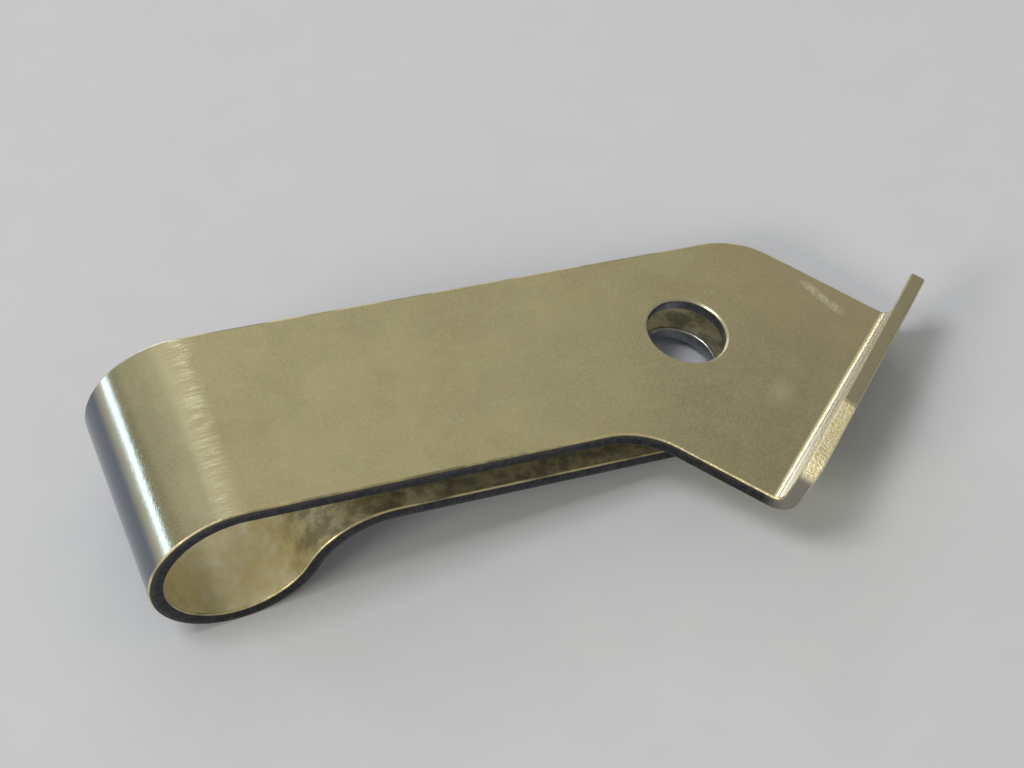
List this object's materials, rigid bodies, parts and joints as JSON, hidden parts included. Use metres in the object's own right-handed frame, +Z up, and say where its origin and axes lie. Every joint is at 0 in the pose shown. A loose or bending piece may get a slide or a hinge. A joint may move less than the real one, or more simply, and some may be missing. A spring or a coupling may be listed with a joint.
{
  "type": "strip steel rod clip",
  "caption": "Spring clip bent from strip steel: a rolled eye grips a rod, flat leaves share a bolt hole, and a sideways tab ends in an upturned flange.",
  "frame": {"origin": "on the rolled eye's axis, at the middle of the strip's width", "axes": "+Y along the eye's axis, +X towards the flange, +Z up from the surface that the clip lies on; the leaves slope down to +X because the clip rests on its eye and its lower leaf's tip"},
  "size_m": [0.0871, 0.0353, 0.0182],
  "materials": {
    "plated_steel": "satin bright zinc plate with a faint straw tint"
  },
  "bodies": {
    "eye_and_lower_leaf": {"rolled_eye": "plated_steel", "lower_leaf": "plated_steel"},
    "upper_leaf_and_flange": {"upper_leaf": "plated_steel"}
  },
  "joints": [
    {"name": "leaf_flex", "type": "hinge", "parent": "eye_and_lower_leaf", "child": "upper_leaf_and_flange", "pos_m": [0, 0, 0], "axis": [0, 1, 0], "range_deg": [-4, 2.9], "stiffness_Nm_per_rad": 43, "deforming": ["rolled_eye"]}
  ]
}
